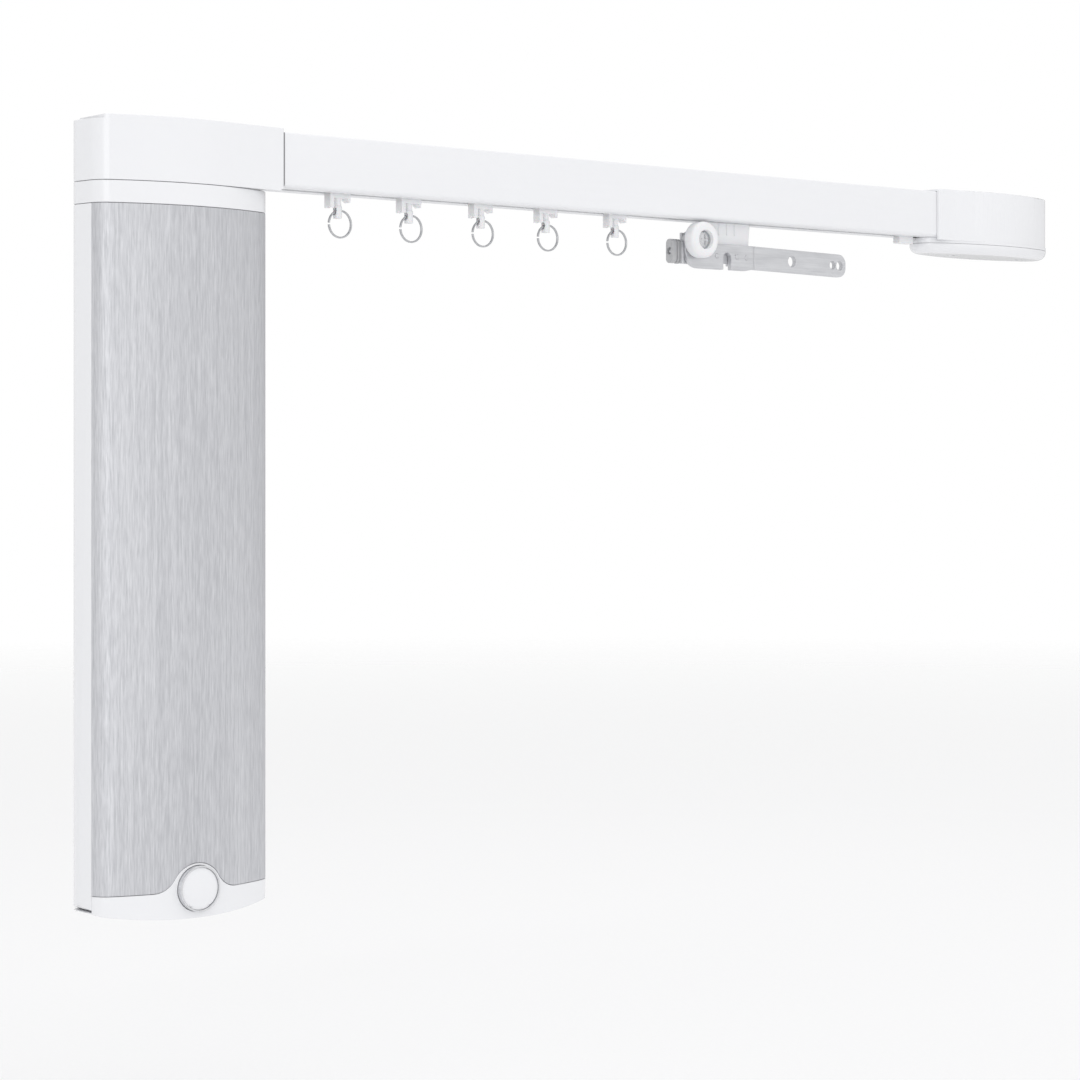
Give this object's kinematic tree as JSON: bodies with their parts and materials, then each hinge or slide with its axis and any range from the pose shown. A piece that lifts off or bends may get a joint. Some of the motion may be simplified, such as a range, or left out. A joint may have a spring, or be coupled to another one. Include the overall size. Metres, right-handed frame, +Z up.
{
  "type": "electric curtain track",
  "caption": "Straight motorised curtain track: a slim motor unit hangs at one end, a belt in the track pulls the leading carrier and its overlap arm, and gliders with rings follow.",
  "frame": {"origin": "on the track's top face, at the middle of its visible length and depth", "axes": "+X along the track towards the end housing, +Y to the back, +Z up out of the clip slot"},
  "size_m": [0.5475, 0.033, 0.305],
  "materials": {
    "coated_track": "satin white coating",
    "gloss_white": "glossy moulded white",
    "panel_metal": "fine upright brushing, clear anodised",
    "trim_metal": "polished trim",
    "satin_white": "satin moulded white",
    "arm_metal": "fine grey powder coat",
    "buffer_grey": "matte grey",
    "steel": "bright zinc",
    "dark_plastic": "fine matte black",
    "brass": "plain",
    "belt_rubber": "matte black",
    "board_green": "solder mask",
    "core_dark": "sintered, matte",
    "can_sleeve": "shrink sleeve",
    "relay_grey": "moulded",
    "light_lens": "frosted clear"
  },
  "bodies": {
    "root": {"track_profile": "coated_track", "rear_casing": "gloss_white", "bottom_cap": "gloss_white", "badge_disc": "gloss_white", "motor_collar": "gloss_white", "head_housing": "gloss_white", "head_cover": "gloss_white", "end_housing": "gloss_white", "end_lower_cover": "gloss_white", "front_panel": "panel_metal", "badge_ring": "trim_metal", "end_stop": "satin_white", "casing_screws": "steel", "motor_can": "steel", "gearbox_housing": "steel", "head_screws": "steel", "end_screws": "steel", "return_axle": "steel", "mains_inlet": "dark_plastic", "control_socket": "dark_plastic", "programming_switch": "dark_plastic", "motor_end_cap": "dark_plastic", "motor_saddles": "dark_plastic", "socket_contacts": "brass", "pulley_bushes": "brass", "drive_belt": "belt_rubber", "circuit_board": "board_green", "board_transformer": "core_dark", "stator_magnets": "core_dark", "board_capacitors": "can_sleeve", "board_relays": "relay_grey", "status_light": "light_lens"},
    "carrier": {"carrier_body": "satin_white", "belt_clamp": "satin_white", "overlap_arm": "arm_metal", "roller_screw": "steel", "buffer_bracket": "arm_metal", "buffer": "buffer_grey", "buffer_screw": "steel"},
    "roller": {"guide_roller": "satin_white"},
    "drive": {"drive_pulley": "satin_white", "planet_carrier": "steel"},
    "rotor": {"motor_rotor": "steel", "sun_gear": "steel"},
    "return_wheel": {"return_pulley": "satin_white"},
    "latch": {"release_latch": "gloss_white"},
    "button": {"programming_button": "satin_white"},
    "planet_1": {"planet_gear_1": "steel"},
    "planet_2": {"planet_gear_2": "steel"},
    "planet_3": {"planet_gear_3": "steel"},
    "glider_body_1": {"glider_1": "satin_white"},
    "ring_body_1": {"ring_1": "steel"},
    "glider_body_2": {"glider_2": "satin_white"},
    "ring_body_2": {"ring_2": "steel"},
    "glider_body_3": {"glider_3": "satin_white"},
    "ring_body_3": {"ring_3": "steel"},
    "glider_body_4": {"glider_4": "satin_white"},
    "ring_body_4": {"ring_4": "steel"},
    "glider_body_5": {"glider_5": "satin_white"},
    "ring_body_5": {"ring_5": "steel"}
  },
  "joints": [
    {"name": "carrier_slide", "type": "slide", "parent": "root", "child": "carrier", "axis": [1, 0, 0], "range_m": [-0.118, 0.0985]},
    {"name": "rotor_spin", "type": "hinge", "parent": "root", "child": "rotor", "pos_m": [-0.2315, 0, -0.08], "axis": [0, 0, 1], "range_deg": [-3460, 4140]},
    {"name": "glider_1_slide", "type": "slide", "parent": "root", "child": "glider_body_1", "axis": [1, 0, 0], "range_m": [-0.016, 0.0135]},
    {"name": "ring_1_swing", "type": "hinge", "parent": "glider_body_1", "child": "ring_body_1", "pos_m": [-0.1557, 0, -0.0287], "axis": [1, 0, 0], "range_deg": [-45, 45]},
    {"name": "glider_2_slide", "type": "slide", "parent": "root", "child": "glider_body_2", "axis": [1, 0, 0], "range_m": [-0.0368, 0.0309]},
    {"name": "ring_2_swing", "type": "hinge", "parent": "glider_body_2", "child": "ring_body_2", "pos_m": [-0.1199, 0, -0.0287], "axis": [1, 0, 0], "range_deg": [-45, 45]},
    {"name": "glider_3_slide", "type": "slide", "parent": "root", "child": "glider_body_3", "axis": [1, 0, 0], "range_m": [-0.0587, 0.0491]},
    {"name": "ring_3_swing", "type": "hinge", "parent": "glider_body_3", "child": "ring_body_3", "pos_m": [-0.0822, 0, -0.0287], "axis": [1, 0, 0], "range_deg": [-45, 45]},
    {"name": "glider_4_slide", "type": "slide", "parent": "root", "child": "glider_body_4", "axis": [1, 0, 0], "range_m": [-0.0793, 0.0663]},
    {"name": "ring_4_swing", "type": "hinge", "parent": "glider_body_4", "child": "ring_body_4", "pos_m": [-0.0467, 0, -0.0287], "axis": [1, 0, 0], "range_deg": [-45, 45]},
    {"name": "glider_5_slide", "type": "slide", "parent": "root", "child": "glider_body_5", "axis": [1, 0, 0], "range_m": [-0.1021, 0.0854]},
    {"name": "ring_5_swing", "type": "hinge", "parent": "glider_body_5", "child": "ring_body_5", "pos_m": [-0.0074, 0, -0.0287], "axis": [1, 0, 0], "range_deg": [-45, 45]},
    {"name": "drive_spin", "type": "hinge", "parent": "root", "child": "drive", "pos_m": [-0.2315, 0, -0.01], "axis": [0, 0, 1], "range_deg": [-865, 1035]},
    {"name": "planet_1_spin", "type": "hinge", "parent": "drive", "child": "planet_1", "pos_m": [-0.2315, 0.0054, -0.036], "axis": [0, 0, 1], "range_deg": [-3100, 2590]},
    {"name": "planet_2_spin", "type": "hinge", "parent": "drive", "child": "planet_2", "pos_m": [-0.23618, -0.0027, -0.036], "axis": [0, 0, 1], "range_deg": [-3100, 2590]},
    {"name": "planet_3_spin", "type": "hinge", "parent": "drive", "child": "planet_3", "pos_m": [-0.22682, -0.0027, -0.036], "axis": [0, 0, 1], "range_deg": [-3100, 2590]},
    {"name": "return_spin", "type": "hinge", "parent": "root", "child": "return_wheel", "pos_m": [0.22875, 0, -0.01], "axis": [0, 0, 1], "range_deg": [-865, 1035]},
    {"name": "roller_turn", "type": "hinge", "parent": "carrier", "child": "roller", "pos_m": [0.0365, -0.0083, -0.0309], "axis": [0, 1, 0], "continuous": true},
    {"name": "latch_press", "type": "slide", "parent": "root", "child": "latch", "axis": [-1, 0, 0], "range_m": [0, 0.002], "stiffness_N_per_m": 400},
    {"name": "button_press", "type": "slide", "parent": "root", "child": "button", "axis": [0, 0, 1], "range_m": [0, 0.0008], "stiffness_N_per_m": 250}
  ],
  "couplings": [
    {"joint": "rotor_spin", "follows": "carrier_slide", "rad_per_m": -610.69},
    {"joint": "glider_1_slide", "follows": "carrier_slide", "ratio": 0.127},
    {"joint": "glider_2_slide", "follows": "carrier_slide", "ratio": 0.3031},
    {"joint": "glider_3_slide", "follows": "carrier_slide", "ratio": 0.4887},
    {"joint": "glider_4_slide", "follows": "carrier_slide", "ratio": 0.6634},
    {"joint": "glider_5_slide", "follows": "carrier_slide", "ratio": 0.8568},
    {"joint": "planet_1_spin", "follows": "carrier_slide", "rad_per_m": 458.02},
    {"joint": "planet_2_spin", "follows": "carrier_slide", "rad_per_m": 458.02},
    {"joint": "planet_3_spin", "follows": "carrier_slide", "rad_per_m": 458.02},
    {"joint": "drive_spin", "follows": "carrier_slide", "rad_per_m": -152.67},
    {"joint": "return_spin", "follows": "carrier_slide", "rad_per_m": -152.67}
  ]
}
